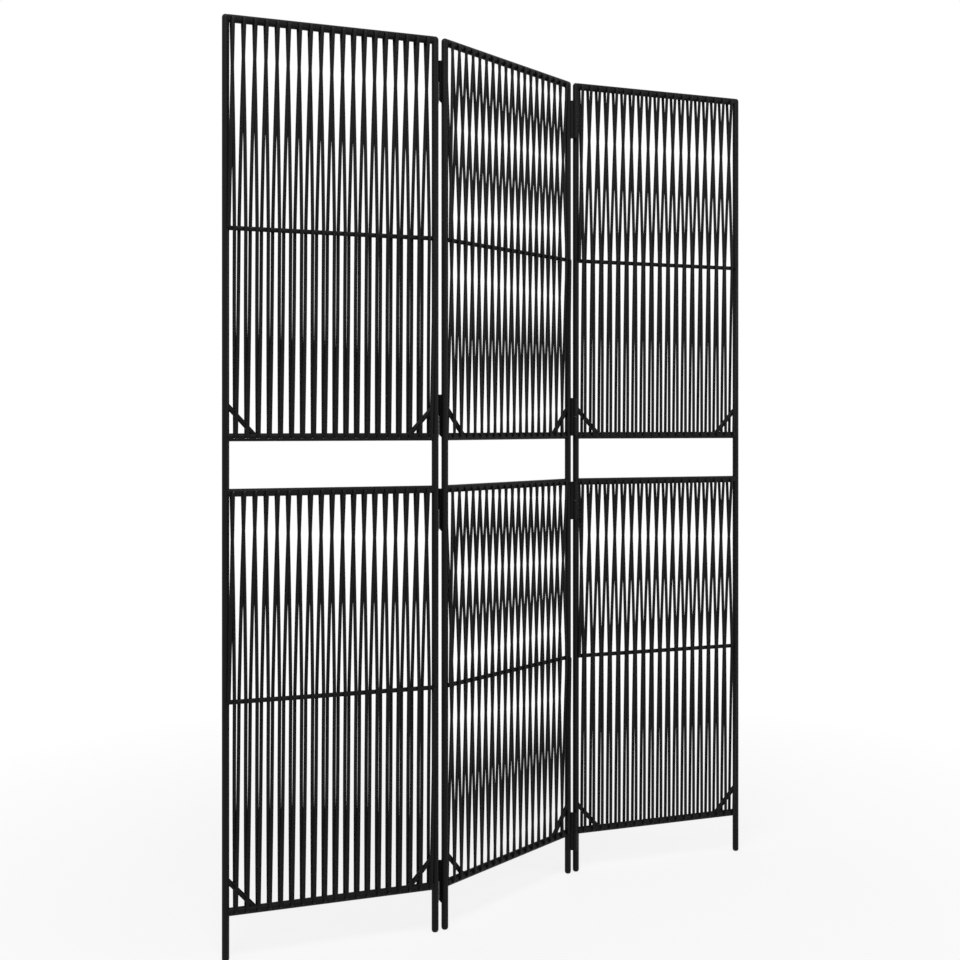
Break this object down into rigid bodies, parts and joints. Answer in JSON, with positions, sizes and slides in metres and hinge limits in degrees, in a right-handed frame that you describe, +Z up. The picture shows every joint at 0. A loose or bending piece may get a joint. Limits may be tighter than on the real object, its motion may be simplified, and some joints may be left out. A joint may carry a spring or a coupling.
{
  "type": "folding room divider",
  "caption": "Free-standing folding room divider: hinged tubular panels with black cane strand laced up and down through slotted rails, an open band at mid height and lift-off hinges.",
  "frame": {"origin": "on the floor under the middle of the middle panel, which is the bottom centre of the box", "axes": "+Z up, +X along the left and right panels as the screen stands, +Y away from the viewer; the middle panel is turned 30 degrees about Z"},
  "size_m": [1.2538, 0.2462, 1.8],
  "materials": {
    "black_paint": "satin powder coat on steel tube",
    "black_cane": "satin synthetic cane, solid black",
    "black_foot": "moulded, fine matt grain",
    "pin_steel": "turned, bright zinc"
  },
  "bodies": {
    "middle_panel": {"middle_panel_left_post": "black_paint", "middle_panel_right_post": "black_paint", "middle_panel_foot_plugs": "black_foot", "middle_panel_lower_field_bottom_rail": "black_paint", "middle_panel_lower_field_top_rail": "black_paint", "middle_panel_lower_field_mid_rod": "black_paint", "middle_panel_lower_field_braces": "black_paint", "middle_panel_lower_field_strand": "black_cane", "middle_panel_upper_field_bottom_rail": "black_paint", "middle_panel_upper_field_top_rail": "black_paint", "middle_panel_upper_field_mid_rod": "black_paint", "middle_panel_upper_field_braces": "black_paint", "middle_panel_upper_field_strand": "black_cane", "left_fold_hinge_sleeve_leaves": "black_paint", "right_fold_hinge_pin_leaves": "black_paint", "right_fold_hinge_pins": "pin_steel"},
    "left_panel": {"left_panel_left_post": "black_paint", "left_panel_right_post": "black_paint", "left_panel_foot_plugs": "black_foot", "left_panel_lower_field_bottom_rail": "black_paint", "left_panel_lower_field_top_rail": "black_paint", "left_panel_lower_field_mid_rod": "black_paint", "left_panel_lower_field_braces": "black_paint", "left_panel_lower_field_strand": "black_cane", "left_panel_upper_field_bottom_rail": "black_paint", "left_panel_upper_field_top_rail": "black_paint", "left_panel_upper_field_mid_rod": "black_paint", "left_panel_upper_field_braces": "black_paint", "left_panel_upper_field_strand": "black_cane", "left_fold_hinge_pin_leaves": "black_paint", "left_fold_hinge_pins": "pin_steel"},
    "right_panel": {"right_panel_left_post": "black_paint", "right_panel_right_post": "black_paint", "right_panel_foot_plugs": "black_foot", "right_panel_lower_field_bottom_rail": "black_paint", "right_panel_lower_field_top_rail": "black_paint", "right_panel_lower_field_mid_rod": "black_paint", "right_panel_lower_field_braces": "black_paint", "right_panel_lower_field_strand": "black_cane", "right_panel_upper_field_bottom_rail": "black_paint", "right_panel_upper_field_top_rail": "black_paint", "right_panel_upper_field_mid_rod": "black_paint", "right_panel_upper_field_braces": "black_paint", "right_panel_upper_field_strand": "black_cane", "right_fold_hinge_sleeve_leaves": "black_paint"}
  },
  "joints": [
    {"name": "left_fold", "type": "hinge", "parent": "middle_panel", "child": "left_panel", "pos_m": [-0.19499, -0.09526, 0.9], "axis": [0, 0, 1], "range_deg": [-150, 30]},
    {"name": "right_fold", "type": "hinge", "parent": "middle_panel", "child": "right_panel", "pos_m": [0.19499, 0.09526, 0.9], "axis": [0, 0, 1], "range_deg": [-150, 30]}
  ]
}
